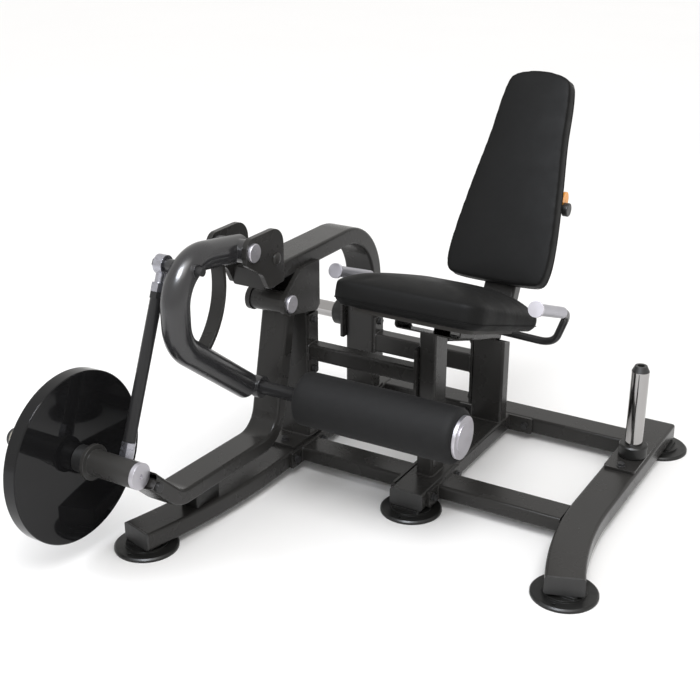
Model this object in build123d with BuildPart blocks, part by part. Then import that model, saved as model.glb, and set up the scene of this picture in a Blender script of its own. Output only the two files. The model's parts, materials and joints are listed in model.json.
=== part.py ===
"""Plate-loaded leg extension machine.

Origin on the floor at the centre of the centre front foot. Z is up, the user faces -Y.
The leg arm, link rod and loaded lever are on the -X side, the spare plate post on the +X side.
"""
from math import cos, hypot, radians, sin
import os

from build123d import *

os.makedirs("parts", exist_ok=True)

# ---------------------------------------------------------------- driving dimensions
TUBE_W = 100.0          # wide face of the main rectangular tube
TUBE_H = 50.0           # narrow face of the main rectangular tube
TUBE_R = 8.0            # outside corner radius
WALL = 3.0              # tube wall
PLATE = 8.0             # welded flange and base plates

BEAM_BOTTOM = 22.0
BEAM_MID = BEAM_BOTTOM + TUBE_H / 2
BEAM_TOP = BEAM_BOTTOM + TUBE_H
CROSS_W = 88.0          # base cross tubes
CROSS_H = 42.0
CROSS_Y = 91.5          # front cross tubes
REAR_CROSS_Y = 606.0

FOOT_D = 170.0
FOOT_RING_D = 112.0
FOOT_HOLE_D = 11.0
FOOT_HOLE_Y = -69.0

LEFT_X = -443.0         # centre plane of the left beam, columns, arch and arms
RIGHT_X = 460.0         # centre plane of the right beam
LEFT_NEAR = LEFT_X + TUBE_W / 2
LEFT_FAR = LEFT_X - TUBE_W / 2
RIGHT_INNER = RIGHT_X - TUBE_W / 2

KNEE = (-177.0, 729.0)      # Y, Z of the knee pivot
LEVER = (-8.0, 535.0)       # Y, Z of the lever pivot
LINK_TOP = (-378.0, 735.0)  # Y, Z of the upper link joint
LINK_LOW = (-585.0, 238.0)  # Y, Z of the lower link joint
LINK_X = -511.0             # plane of the link rod
ROLLER = (-120.0, 325.0)    # Y, Z of the roller axis
HORN = (-623.0, 279.0)      # Y, Z of the loading horn axis

PIVOT_D = 30.0          # knee and lever shafts
HUB_D = 62.0
RUN = 0.05              # radial running clearance of every plain bearing
GAP = 0.5               # clearance round bolts and between sliding faces

ARM_D = 74.0            # leg arm tube
LEVER_W = 88.0          # weight lever tube
LEVER_H = 44.0

COLUMN_Y = 121.0        # front column
ARCH_TOP = 656.0
ARCH_FRONT_Y = -112.0
ARCH_BEND = 182.0       # centre line radius
REAR_Y = 505.0          # rear column and rear seat post

POST_Y = 112.0          # front seat post
POST_W = 50.0
POST_L = 78.0

SEAT_TILT = 18.7        # seat falls to the rear
SEAT_EDGE = (-72.0, 666.0)
SEAT_L = 415.0
SEAT_FRONT_W = 422.0    # seat pad widens to the rear
SEAT_REAR_W = 456.0
SEAT_T = 70.0
SEAT_RIDGE = (-6.0, -28.0)    # top edge of the side band, front and rear
SEAT_SHOULDER = 8.0
SEAT_CROWN = 31.0
BOARD_T = 10.0
RAIL = 50.0

BACK_LEAN = 28.0        # back pad from vertical
BACK_FOOT = (480.0, 536.0)
BACK_T = 58.0
BACK_BOARD_T = 9.0
POST_FRONT = 75.0       # back post front face behind the pad face

HANDLE_X = 294.0
ROD_D = 22.0
GRIP_D = 31.0

HORN_D = 50.0
PLATE_D = 450.0
PLATE_T = 38.0
PLATE_X = -612.0        # inner face of the weight plate


# ---------------------------------------------------------------- helpers
def box_section(width, height, radius=TUBE_R, wall=WALL):
    """Hollow rounded rectangular section in the current sketch."""
    RectangleRounded(width, height, radius)
    RectangleRounded(width - 2 * wall, height - 2 * wall, radius - wall, mode=Mode.SUBTRACT)


def disc(plane, diameter, length, mode=Mode.ADD):
    """Round boss or bore along the normal of the plane."""
    with BuildSketch(plane) as profile:
        Circle(diameter / 2)
    extrude(profile.sketch, amount=length, mode=mode)


def ring(plane, outer, inner, length):
    with BuildSketch(plane) as profile:
        Circle(outer / 2)
        Circle(inner / 2, mode=Mode.SUBTRACT)
    extrude(profile.sketch, amount=length)


def slab(x0, x1, y0, y1, z0, z1, mode=Mode.ADD):
    """Axis-aligned block from its limits."""
    with Locations(((x0 + x1) / 2, (y0 + y1) / 2, (z0 + z1) / 2)):
        Box(x1 - x0, y1 - y0, z1 - z0, mode=mode)


def across(x, point, side=1):
    """Plane square to X through a (Y, Z) point, facing +X or -X."""
    return Plane(origin=(x, point[0], point[1]), x_dir=(0, 1, 0), z_dir=(side, 0, 0))


def facing(origin, normal, x_dir=None):
    if x_dir is None:
        x_dir = (0, 0, 1) if abs(normal[2]) < 0.9 else (1, 0, 0)
    return Plane(origin=origin, x_dir=x_dir, z_dir=normal)


def hex_bolt(plane, size, shank):
    """Washer, hex head and shank; the plane is the seating face."""
    disc(plane, size * 2.0, 2.5)
    with BuildSketch(plane.offset(2.5)) as profile:
        RegularPolygon(size * 0.75, 6, major_radius=False)
    extrude(profile.sketch, amount=size * 0.62)
    disc(plane, size, -shank)


def pivot_cap(plane, diameter, height):
    """Turned cap with two spanner holes."""
    disc(plane, diameter, height - 2)
    with BuildSketch(plane.offset(height - 2)) as profile:
        Circle(diameter / 2)
    extrude(profile.sketch, amount=2, taper=40)
    with BuildSketch(plane.offset(height)) as profile:
        with Locations((-3, 7), (3, -7)):
            Circle(2)
    extrude(profile.sketch, amount=-4, mode=Mode.SUBTRACT)


def hole(plane, diameter, depth):
    """Blind or through hole; positive depth cuts against the plane normal."""
    with BuildSketch(plane) as profile:
        Circle(diameter / 2)
    extrude(profile.sketch, amount=-depth, mode=Mode.SUBTRACT)


# ---------------------------------------------------------------- floor feet
FEET = ((0, 0), (-508, -517), (515, -173), (476, 704), (LEFT_X, 600))

with BuildPart() as floor_feet:
    for foot_x, foot_y in FEET:
        foot = Plane(origin=(foot_x, foot_y, 0))
        disc(foot, FOOT_D, 6)
        with BuildSketch(foot.offset(6)):
            Circle(FOOT_D / 2)
        extrude(amount=4, taper=45)
        disc(foot.offset(10), FOOT_RING_D, 5)
        with BuildSketch(foot.offset(15)):
            RectangleRounded(84, 76, 6)
        extrude(amount=BEAM_BOTTOM - 15)
        hole(Plane(origin=(foot_x, foot_y + FOOT_HOLE_Y, 10)), FOOT_HOLE_D, 10)
floor_feet.part.label = "floor_feet"
export_step(floor_feet.part, "parts/floor_feet.step")

# ---------------------------------------------------------------- base beams
LEFT_STRAIGHT = -75.0
LEFT_R = 1780.0
LEFT_TURN = 15.5
RIGHT_STRAIGHT = 160.0
RIGHT_R = 1045.0
RIGHT_TURN = 20.6
CENTRE_FRONT = -28.0
CENTRE_REAR = REAR_CROSS_Y - CROSS_W / 2 - PLATE
REAR_BOLT_X = TUBE_W / 2 + 51
LEFT_REAR = REAR_CROSS_Y + CROSS_W / 2
RIGHT_REAR = 738.0
BOLT_PITCH = 75.0       # bolt offset from a cross tube centre along its flange

CROSS_BOLTS = (CROSS_Y - BOLT_PITCH, CROSS_Y + BOLT_PITCH)
COLUMN_PLATE = (18.0, 178.0)
REAR_PLATE = (444.0, 556.0)
COLUMN_BOLTS = (44.0, 161.0)
REAR_BOLTS = (462.0, 543.0)

with BuildPart() as centre_base_beam:
    with BuildSketch(facing((0, CENTRE_FRONT, BEAM_MID), (0, 1, 0), (1, 0, 0))):
        box_section(TUBE_W, TUBE_H)
    extrude(amount=CENTRE_REAR - CENTRE_FRONT)
    with BuildSketch(facing((0, CENTRE_REAR, BEAM_MID), (0, 1, 0), (1, 0, 0))):
        RectangleRounded(2 * REAR_BOLT_X + 46, TUBE_H, 6)
    extrude(amount=PLATE)
    for side in (-1, 1):
        end_x = side * REAR_BOLT_X
        hole(facing((end_x, CENTRE_REAR + PLATE, BEAM_MID), (0, 1, 0)), 13, PLATE)
        for bolt_y in CROSS_BOLTS:
            hole(facing((side * TUBE_W / 2, bolt_y, BEAM_MID), (side, 0, 0)), 13, WALL)
centre_base_beam.part.label = "centre_base_beam"
export_step(centre_base_beam.part, "parts/centre_base_beam.step")

with BuildPart() as left_base_beam:
    with BuildLine(Plane.XY.offset(BEAM_MID)) as left_path:
        left_line = Line((LEFT_X, LEFT_REAR), (LEFT_X, LEFT_STRAIGHT))
        JernArc(left_line @ 1, left_line % 1, LEFT_R, -LEFT_TURN)
    with BuildSketch(facing((LEFT_X, LEFT_REAR, BEAM_MID), (0, -1, 0), (1, 0, 0))):
        box_section(TUBE_W, TUBE_H)
    sweep()
    for bolt_y in COLUMN_BOLTS + REAR_BOLTS:
        hole(facing((LEFT_X, bolt_y, BEAM_TOP), (0, 0, 1)), 13, WALL)
    for bolt_y in CROSS_BOLTS:
        hole(facing((LEFT_NEAR, bolt_y, BEAM_MID), (1, 0, 0)), 13, WALL)
left_base_beam.part.label = "left_base_beam"
export_step(left_base_beam.part, "parts/left_base_beam.step")

STORE_Y = 472.0
STORE_BOLTS = (STORE_Y - 82, STORE_Y + 82)

with BuildPart() as right_base_beam:
    with BuildLine(Plane.XY.offset(BEAM_MID)) as right_path:
        right_line = Line((RIGHT_X, RIGHT_REAR), (RIGHT_X, RIGHT_STRAIGHT))
        JernArc(right_line @ 1, right_line % 1, RIGHT_R, RIGHT_TURN)
    with BuildSketch(facing((RIGHT_X, RIGHT_REAR, BEAM_MID), (0, -1, 0), (1, 0, 0))):
        box_section(TUBE_W, TUBE_H)
    sweep()
    for bolt_y in STORE_BOLTS:
        hole(facing((RIGHT_X, bolt_y, BEAM_TOP), (0, 0, 1)), 13, WALL)
right_base_beam.part.label = "right_base_beam"
export_step(right_base_beam.part, "parts/right_base_beam.step")


def beam_end(origin, normal, x_dir):
    """Closing plug of a beam end with a rounded outer plate."""
    end = facing(origin, normal, x_dir)
    with BuildSketch(end) as profile:
        RectangleRounded(TUBE_W, TUBE_H, TUBE_R)
    extrude(profile.sketch, amount=5)
    with BuildSketch(end) as profile:
        RectangleRounded(TUBE_W - 2 * WALL - 2 * GAP, TUBE_H - 2 * WALL - 2 * GAP, 4)
    extrude(profile.sketch, amount=-12)


LEFT_END = left_path.line @ 1
RIGHT_END = right_path.line @ 1
LEFT_DIR = left_path.line % 1
RIGHT_DIR = right_path.line % 1

with BuildPart() as beam_end_caps:
    beam_end((0, CENTRE_FRONT, BEAM_MID), (0, -1, 0), (1, 0, 0))
    beam_end(LEFT_END, LEFT_DIR, (-LEFT_DIR.Y, LEFT_DIR.X, 0))
    beam_end(RIGHT_END, RIGHT_DIR, (-RIGHT_DIR.Y, RIGHT_DIR.X, 0))
    beam_end((LEFT_X, LEFT_REAR, BEAM_MID), (0, 1, 0), (1, 0, 0))
    beam_end((RIGHT_X, RIGHT_REAR, BEAM_MID), (0, 1, 0), (1, 0, 0))
beam_end_caps.part.label = "beam_end_caps"
export_step(beam_end_caps.part, "parts/beam_end_caps.step")


# ---------------------------------------------------------------- base cross tubes
def flange(x, side, y, length, z, height, bolts):
    """Bolted plate square to X; bolts are (Y, Z) points."""
    with BuildSketch(across(x, (y, z), side)) as profile:
        RectangleRounded(length, height, 6)
    extrude(profile.sketch, amount=PLATE)
    for bolt in bolts:
        hole(across(x + side * PLATE, bolt, side), 13, PLATE)


FLANGE_L = 194.0
BASE_BOLTS = tuple((bolt_y, BEAM_MID) for bolt_y in CROSS_BOLTS)
CENTRE_SIDE = TUBE_W / 2

with BuildPart() as front_left_cross_tube:
    with BuildSketch(across(LEFT_NEAR + PLATE, (CROSS_Y, BEAM_MID))):
        box_section(CROSS_W, CROSS_H)
    extrude(amount=-CENTRE_SIDE - LEFT_NEAR - 2 * PLATE)
    flange(LEFT_NEAR, 1, CROSS_Y, FLANGE_L, BEAM_MID, TUBE_H, BASE_BOLTS)
    flange(-CENTRE_SIDE, -1, CROSS_Y, FLANGE_L, BEAM_MID, TUBE_H, BASE_BOLTS)
front_left_cross_tube.part.label = "front_left_cross_tube"
export_step(front_left_cross_tube.part, "parts/front_left_cross_tube.step")

with BuildPart() as front_right_cross_tube:
    with BuildSketch(across(CENTRE_SIDE + PLATE, (CROSS_Y, BEAM_MID))):
        box_section(CROSS_W, CROSS_H)
    extrude(amount=RIGHT_INNER + 2 - CENTRE_SIDE - PLATE)
    flange(CENTRE_SIDE, 1, CROSS_Y, FLANGE_L, BEAM_MID, TUBE_H, BASE_BOLTS)
    with BuildSketch(Plane.XY):
        with Locations((RIGHT_X + RIGHT_R, RIGHT_STRAIGHT)):
            Circle(RIGHT_R + TUBE_W / 2)
    extrude(amount=200, mode=Mode.SUBTRACT)
    slab(RIGHT_INNER, RIGHT_INNER + 60, RIGHT_STRAIGHT - 1, 400, 0, 200, Mode.SUBTRACT)
front_right_cross_tube.part.label = "front_right_cross_tube"
export_step(front_right_cross_tube.part, "parts/front_right_cross_tube.step")

with BuildPart() as rear_cross_tube:
    with BuildSketch(across(LEFT_NEAR, (REAR_CROSS_Y, BEAM_MID))):
        box_section(CROSS_W, TUBE_H)
    extrude(amount=RIGHT_INNER - LEFT_NEAR)
    for side in (-1, 1):
        end_x = side * REAR_BOLT_X
        hole(facing((end_x, REAR_CROSS_Y - CROSS_W / 2, BEAM_MID), (0, -1, 0)), 13, WALL)
rear_cross_tube.part.label = "rear_cross_tube"
export_step(rear_cross_tube.part, "parts/rear_cross_tube.step")

# ---------------------------------------------------------------- columns and arch
ARCH_MID = ARCH_TOP - TUBE_H / 2
SIDE_STORE_Z = 318.0
SIDE_PITCH = 55.0
COLUMN_TOP = ARCH_TOP - TUBE_H
PLATE_TOP = BEAM_TOP + 10.0


def base_plate(y_span, bolts):
    with BuildSketch(Plane(origin=(LEFT_X, sum(y_span) / 2, BEAM_TOP))) as profile:
        RectangleRounded(TUBE_W - 4, y_span[1] - y_span[0], 8)
    extrude(profile.sketch, amount=PLATE_TOP - BEAM_TOP)
    for bolt_y in bolts:
        hole(facing((LEFT_X, bolt_y, PLATE_TOP), (0, 0, 1)), 13, PLATE_TOP - BEAM_TOP)


FRONT_FLANGE = (COLUMN_Y - 4, 373.0, 50.0, 190.0)   # Y, Z, length, height
REAR_FLANGE = (REAR_Y, 226.0, 48.0, 206.0)
FRONT_FLANGE_BOLTS = ((COLUMN_Y - 4, 373.0 + 76), (COLUMN_Y - 4, 373.0 - 76))
REAR_FLANGE_BOLTS = ((REAR_Y, 226.0 + 86), (REAR_Y, 226.0 - 86))

with BuildPart() as front_column:
    with BuildSketch(Plane(origin=(LEFT_X, COLUMN_Y, PLATE_TOP))):
        box_section(TUBE_W, TUBE_H)
    extrude(amount=COLUMN_TOP - PLATE_TOP)
    base_plate(COLUMN_PLATE, COLUMN_BOLTS)
    for bolt in FRONT_FLANGE_BOLTS:
        hole(across(LEFT_NEAR, bolt), 13, WALL)
front_column.part.label = "front_column"
export_step(front_column.part, "parts/front_column.step")

with BuildPart() as arch_tube:
    with BuildLine(Plane.YZ.offset(LEFT_X)) as arch_path:
        arch_top = Line((ARCH_FRONT_Y, ARCH_MID), (REAR_Y - ARCH_BEND, ARCH_MID))
        arch_arc = JernArc(arch_top @ 1, arch_top % 1, ARCH_BEND, -90)
        Line(arch_arc @ 1, (REAR_Y, PLATE_TOP))
    with BuildSketch(facing((LEFT_X, ARCH_FRONT_Y, ARCH_MID), (0, 1, 0), (1, 0, 0))):
        box_section(TUBE_W, TUBE_H)
    sweep()
    with BuildSketch(facing((LEFT_X, ARCH_FRONT_Y, ARCH_MID), (0, 1, 0), (1, 0, 0))):
        RectangleRounded(TUBE_W, TUBE_H, TUBE_R)
    extrude(amount=4)
    base_plate(REAR_PLATE, REAR_BOLTS)
    for bolt in REAR_FLANGE_BOLTS:
        hole(across(LEFT_NEAR, bolt), 13, WALL)
    for bolt_z in (SIDE_STORE_Z - SIDE_PITCH, SIDE_STORE_Z + SIDE_PITCH):
        hole(across(LEFT_FAR, (REAR_Y, bolt_z), -1), 11, WALL)
arch_tube.part.label = "arch_tube"
export_step(arch_tube.part, "parts/arch_tube.step")

# ---------------------------------------------------------------- pivot plates
CHEEK_T = 14.0
CHEEK_POINTS = ((-206, 700), (-206, 768), (-36, 768), (-36, 612), (-108, 608), (-134, 656))
CHEEK_CORNERS = (12, 30, 50, 8, 12, 50)       # corner radii of the knee cheeks
GUSSET_POINTS = ((-36, 556), (48, 620), (143, 620), (143, 488), (128, 474), (-2, 500))


with BuildPart() as knee_cheeks:
    for x, side in ((LEFT_NEAR, 1), (LEFT_FAR, -1)):
        with BuildSketch(across(x, (0, 0))) as cheek:
            with BuildLine():
                Polyline(*CHEEK_POINTS, close=True)
            make_face()
            for point, radius in zip(CHEEK_POINTS, CHEEK_CORNERS):
                corner = cheek.vertices().sort_by_distance((point[0], point[1], 0))[0]
                fillet(corner, radius)
            with Locations(KNEE):
                Circle(31)
        extrude(amount=side * CHEEK_T)
        hole(across(x + side * CHEEK_T, KNEE, side), PIVOT_D + 2 * RUN, CHEEK_T)
knee_cheeks.part.label = "knee_cheeks"
export_step(knee_cheeks.part, "parts/knee_cheeks.step")

with BuildPart() as lever_gussets:
    for x, side in ((LEFT_NEAR, 1), (LEFT_FAR, -1)):
        with BuildSketch(across(x, (0, 0))):
            with BuildLine():
                Polyline(*GUSSET_POINTS, close=True)
            make_face()
            with Locations(LEVER):
                Circle(35)
        extrude(amount=side * CHEEK_T)
        hole(across(x + side * CHEEK_T, LEVER, side), PIVOT_D + 2 * RUN, CHEEK_T)
lever_gussets.part.label = "lever_gussets"
export_step(lever_gussets.part, "parts/lever_gussets.step")

SHAFT_X0 = LEFT_FAR - CHEEK_T
SHAFT_L = TUBE_W + 2 * CHEEK_T

with BuildPart() as knee_shaft:
    disc(across(SHAFT_X0, KNEE), PIVOT_D, SHAFT_L)
knee_shaft.part.label = "knee_shaft"
export_step(knee_shaft.part, "parts/knee_shaft.step")

with BuildPart() as lever_shaft:
    disc(across(SHAFT_X0, LEVER), PIVOT_D, SHAFT_L)
lever_shaft.part.label = "lever_shaft"
export_step(lever_shaft.part, "parts/lever_shaft.step")

with BuildPart() as pivot_caps:
    for pivot in (KNEE, LEVER):
        pivot_cap(across(LEFT_NEAR + CHEEK_T, pivot), 50, 8)
        pivot_cap(across(LEFT_FAR - CHEEK_T, pivot, -1), 50, 8)
pivot_caps.part.label = "pivot_caps"
export_step(pivot_caps.part, "parts/pivot_caps.step")

# ---------------------------------------------------------------- leg arm and roller
HUB_X0 = LEFT_FAR + 1.5
HUB_L = TUBE_W - 3.0
ARM_START = (KNEE[0] + 27, KNEE[1] - 4)
ARM_TOP = (-424.0, 765.0)
ARM_LOW = (-424.0, 546.0)
ARM_END = (ROLLER[0] - 24, ROLLER[1] + 7)
ARM_BEND = 108.0
LINK_BORE = 16.0
LINK_BOSS_D = 34.0
EYE_T = 26.0
EYE_FACE = LINK_X + EYE_T / 2      # eye side nearest the arms

SOCKET_D = 56.0
SHAFT_D = 38.0
FOAM_D = 150.0
FOAM_X = (-269.0, 197.0)
CORE_D = 50.0

with BuildPart() as leg_arm:
    with BuildLine(Plane.YZ.offset(LEFT_X)) as arm_path:
        FilletPolyline(ARM_START, ARM_TOP, ARM_LOW, ARM_END, radius=ARM_BEND)
    with BuildSketch(Plane(origin=arm_path.line @ 0, z_dir=arm_path.line % 0)):
        Circle(ARM_D / 2)
    sweep()
    disc(across(HUB_X0, KNEE), HUB_D, HUB_L)
    disc(across(EYE_FACE + 1, LINK_TOP), LINK_BOSS_D, LEFT_X + ARM_D / 2 + 2 - EYE_FACE - 1)
    disc(across(LEFT_X - 34, ROLLER), SOCKET_D, 60)
    disc(across(LEFT_X + 24, ROLLER), SOCKET_D + 6, 19)
    hole(across(HUB_X0 + HUB_L, KNEE), PIVOT_D + 2 * RUN, HUB_L)
    hole(across(LEFT_X + 60, LINK_TOP), LINK_BORE + 0.2, 140)
    hole(across(LEFT_X + 43, ROLLER), SHAFT_D, 72)
leg_arm.part.label = "leg_arm"
export_step(leg_arm.part, "parts/leg_arm.step")

with BuildPart() as arm_strap:
    with BuildSketch(across(LEFT_X - 19, (0, 0))):
        with BuildLine():
            strap_out = ThreePointArc((-249, 720), (-250, 606), (-330, 496))
            strap_in = offset(strap_out, amount=-6, side=Side.BOTH, closed=True)
        make_face()
    extrude(amount=38)
    add(leg_arm.part, mode=Mode.SUBTRACT)
arm_strap.part.label = "arm_strap"
export_step(arm_strap.part, "parts/arm_strap.step")

with BuildPart() as roller_shaft:
    ring(across(LEFT_X - 29, ROLLER), SHAFT_D, SHAFT_D - 8, FOAM_X[1] - 4 - LEFT_X + 29)
roller_shaft.part.label = "roller_shaft"
export_step(roller_shaft.part, "parts/roller_shaft.step")

with BuildPart() as roller_core:
    ring(across(FOAM_X[0], ROLLER), CORE_D, SHAFT_D + 2 * RUN, FOAM_X[1] - FOAM_X[0])
    ring(across(FOAM_X[0] - 5, ROLLER), 96, SHAFT_D + 2 * RUN, 5)
roller_core.part.label = "roller_core"
export_step(roller_core.part, "parts/roller_core.step")

with BuildPart() as roller_foam:
    ring(across(FOAM_X[0] + 1, ROLLER), FOAM_D, CORE_D + 2, FOAM_X[1] - FOAM_X[0] - 2)
    chamfer(roller_foam.edges().filter_by(GeomType.CIRCLE).sort_by(SortBy.RADIUS)[-2:], 7)
roller_foam.part.label = "roller_foam"
export_step(roller_foam.part, "parts/roller_foam.step")

with BuildPart() as roller_end_cap:
    disc(across(FOAM_X[1], ROLLER), 113, 9)
    disc(across(FOAM_X[1] + 9, ROLLER), 78, 2)
roller_end_cap.part.label = "roller_end_cap"
export_step(roller_end_cap.part, "parts/roller_end_cap.step")

# ---------------------------------------------------------------- link rod
LINK_DY = LINK_TOP[0] - LINK_LOW[0]
LINK_DZ = LINK_TOP[1] - LINK_LOW[1]
LINK_L = hypot(LINK_DY, LINK_DZ)
LINK_UP = (0, LINK_DY / LINK_L, LINK_DZ / LINK_L)
LINK_DOWN = (0, -LINK_UP[1], -LINK_UP[2])
UPPER_EYE_D = 50.0
LOWER_EYE_D = 42.0
HEX_AF = 34.0
ROD_TUBE_D = 32.0


def rod_frame(point, direction, distance):
    """Plane square to the rod at a distance from one of its eyes."""
    y = point[0] + direction[1] * distance
    z = point[1] + direction[2] * distance
    return Plane(origin=(LINK_X, y, z), x_dir=(1, 0, 0), z_dir=direction)


def jam_nut(point, direction, length):
    with BuildSketch(rod_frame(point, direction, 70)) as profile:
        RegularPolygon(HEX_AF / 2 - 0.5, 6, major_radius=False)
    extrude(profile.sketch, amount=length)


with BuildPart() as link_rod:
    disc(rod_frame(LINK_TOP, LINK_DOWN, 87), ROD_TUBE_D, LINK_L - 2 * 87)
    jam_nut(LINK_TOP, LINK_DOWN, 17)
link_rod.part.label = "link_rod"
export_step(link_rod.part, "parts/link_rod.step")

def rod_end(point, direction, eye):
    """Eye, neck and hexagon of one rod end."""
    disc(across(LINK_X - EYE_T / 2, point), eye, EYE_T)
    disc(rod_frame(point, direction, 17.5), 26, 30)
    with BuildSketch(rod_frame(point, direction, 47)) as profile:
        RegularPolygon(HEX_AF / 2, 6, major_radius=False)
    extrude(profile.sketch, amount=23)
    hole(across(LINK_X + EYE_T / 2, point), LINK_BORE + 2 * RUN, EYE_T)


with BuildPart() as upper_rod_end:
    rod_end(LINK_TOP, LINK_DOWN, UPPER_EYE_D)
upper_rod_end.part.label = "upper_rod_end"
export_step(upper_rod_end.part, "parts/upper_rod_end.step")

with BuildPart() as lower_rod_end:
    rod_end(LINK_LOW, LINK_UP, LOWER_EYE_D)
lower_rod_end.part.label = "lower_rod_end"
export_step(lower_rod_end.part, "parts/lower_rod_end.step")

with BuildPart() as lower_jam_nut:
    jam_nut(LINK_LOW, LINK_UP, 17 - 2 * GAP)
lower_jam_nut.part.label = "lower_jam_nut"
export_step(lower_jam_nut.part, "parts/lower_jam_nut.step")

with BuildPart() as upper_link_bolt:
    head_x = LEFT_X + ARM_D / 2 + 2
    disc(across(head_x, LINK_TOP), 22, 17)
    disc(across(LINK_X - EYE_T / 2 - 1, LINK_TOP), LINK_BORE, head_x - LINK_X + EYE_T / 2 + 1)
    with BuildSketch(across(LINK_X - EYE_T / 2 - 1, LINK_TOP, -1)):
        RegularPolygon(12, 6, major_radius=False)
    extrude(amount=11)
upper_link_bolt.part.label = "upper_link_bolt"
export_step(upper_link_bolt.part, "parts/upper_link_bolt.step")

# ---------------------------------------------------------------- weight lever and loading horn
LEVER_NEAR = LEFT_X + LEVER_W / 2
LEVER_FAR = LEFT_X - LEVER_W / 2
HOUSING_D = 68.0
HOUSING_X = (-563.0, -429.0)
COLLAR_D = 93.0
LEVER_POINTS = ((40, 545), (-48.6, 139.8), (-495, 156.1), (-600, 260))
LEVER_BEND = 88.0

with BuildPart() as weight_lever:
    with BuildLine(Plane.YZ.offset(LEFT_X)) as lever_path:
        FilletPolyline(*LEVER_POINTS, radius=LEVER_BEND)
    with BuildSketch(Plane(origin=lever_path.line @ 0, x_dir=(1, 0, 0), z_dir=lever_path.line % 0)):
        box_section(LEVER_W, LEVER_H)
    sweep()
    with BuildSketch(Plane(origin=lever_path.line @ 0, x_dir=(1, 0, 0), z_dir=lever_path.line % 0)):
        RectangleRounded(LEVER_W, LEVER_H, TUBE_R)
    extrude(amount=5)
    disc(across(HUB_X0, LEVER), HUB_D, HUB_L)
    disc(across(EYE_FACE + 1, LINK_LOW), LINK_BOSS_D, LEVER_NEAR - EYE_FACE - 1)
    hole(across(HUB_X0 + HUB_L, LEVER), PIVOT_D + 2 * RUN, HUB_L)
    hole(across(LEVER_NEAR + 5, LINK_LOW), LINK_BORE + 0.2, 140)
    hole(across(HOUSING_X[1], HORN), HOUSING_D, 200)
    hole(across(LEVER_NEAR + 5, HORN), 84, LEVER_NEAR + 5 - HOUSING_X[1])
weight_lever.part.label = "weight_lever"
export_step(weight_lever.part, "parts/weight_lever.step")

with BuildPart() as lower_link_bolt:
    disc(across(LEVER_NEAR, LINK_LOW), 24, 9)
    disc(across(LEVER_NEAR, LINK_LOW), LINK_BORE, -(LEVER_NEAR - LINK_X + EYE_T / 2 + 1))
    with BuildSketch(across(LINK_X - EYE_T / 2 - 1, LINK_LOW, -1)) as nut_profile:
        RegularPolygon(12, 6, major_radius=False)
    extrude(nut_profile.sketch, amount=9)
lower_link_bolt.part.label = "lower_link_bolt"
export_step(lower_link_bolt.part, "parts/lower_link_bolt.step")

with BuildPart() as horn_housing:
    ring(across(HOUSING_X[0], HORN), HOUSING_D, 52, HOUSING_X[1] - HOUSING_X[0])
    ring(across(HOUSING_X[0] - 10, HORN), COLLAR_D, 52, 10)
horn_housing.part.label = "horn_housing"
export_step(horn_housing.part, "parts/horn_housing.step")

with BuildPart() as horn_near_cap:
    disc(across(HOUSING_X[1], HORN), HOUSING_D, 12)
    hole(across(HOUSING_X[1] + 12, HORN), 12, 5)
horn_near_cap.part.label = "horn_near_cap"
export_step(horn_near_cap.part, "parts/horn_near_cap.step")

HORN_TIP = -832.0

with BuildPart() as loading_horn:
    ring(across(HORN_TIP, HORN), HORN_D - 1, HORN_D - 9, HOUSING_X[1] - HORN_TIP)
loading_horn.part.label = "loading_horn"
export_step(loading_horn.part, "parts/loading_horn.step")

with BuildPart() as horn_spacer:
    ring(across(PLATE_X + 1, HORN), HOUSING_D + 2, HORN_D + 2, HOUSING_X[0] - 10 - PLATE_X - 1)
horn_spacer.part.label = "horn_spacer"
export_step(horn_spacer.part, "parts/horn_spacer.step")

with BuildPart() as horn_tip_cap:
    disc(across(HORN_TIP, HORN, -1), HORN_D - 1, 12)
    chamfer(horn_tip_cap.edges().filter_by(GeomType.CIRCLE).sort_by(Axis.X)[:1], 4)
horn_tip_cap.part.label = "horn_tip_cap"
export_step(horn_tip_cap.part, "parts/horn_tip_cap.step")

with BuildPart() as weight_plate:
    ring(across(PLATE_X, HORN, -1), PLATE_D, HORN_D + 1, PLATE_T)
    chamfer(weight_plate.edges().filter_by(GeomType.CIRCLE).sort_by(SortBy.RADIUS)[-2:], 2)
weight_plate.part.label = "weight_plate"
export_step(weight_plate.part, "parts/weight_plate.step")

with BuildPart() as lever_bumper:
    with BuildSketch(Plane(origin=(-458, -347, BEAM_TOP))):
        RectangleRounded(56, 98, 5)
    extrude(amount=125.4 - BEAM_TOP)
lever_bumper.part.label = "lever_bumper"
export_step(lever_bumper.part, "parts/lever_bumper.step")

# ---------------------------------------------------------------- seat frame
TILT_SIN = sin(radians(SEAT_TILT))
TILT_COS = cos(radians(SEAT_TILT))
SEAT = Plane(origin=(0, SEAT_EDGE[0], SEAT_EDGE[1]), x_dir=(1, 0, 0), z_dir=(0, TILT_SIN, TILT_COS))
BOARD_LOW = -SEAT_T - 2.0 - BOARD_T      # underside of the seat board in the seat frame
BRACKET_H = 32.0
BRACKET_Y = (185.0, 283.0)
BRACKET_LOW = BOARD_LOW - BRACKET_H
RAIL_LOW = BOARD_LOW - RAIL
RAIL_END = 655.0
CUTTER = 2000.0


def below_seat(level):
    """Remove everything above a level of the seat frame."""
    with BuildSketch(SEAT.offset(level)) as profile:
        Rectangle(CUTTER, CUTTER)
    extrude(profile.sketch, amount=CUTTER, mode=Mode.SUBTRACT)


POST_FLANGE = (POST_Y, 365.0)
POST_FLANGE_BOLTS = ((POST_Y, 365.0 + 66), (POST_Y, 365.0 - 66))
REAR_POST_FLANGE = (REAR_Y, 222.0)
REAR_POST_BOLTS = ((REAR_Y, 222.0 + 92), (REAR_Y, 222.0 - 92))

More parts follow.
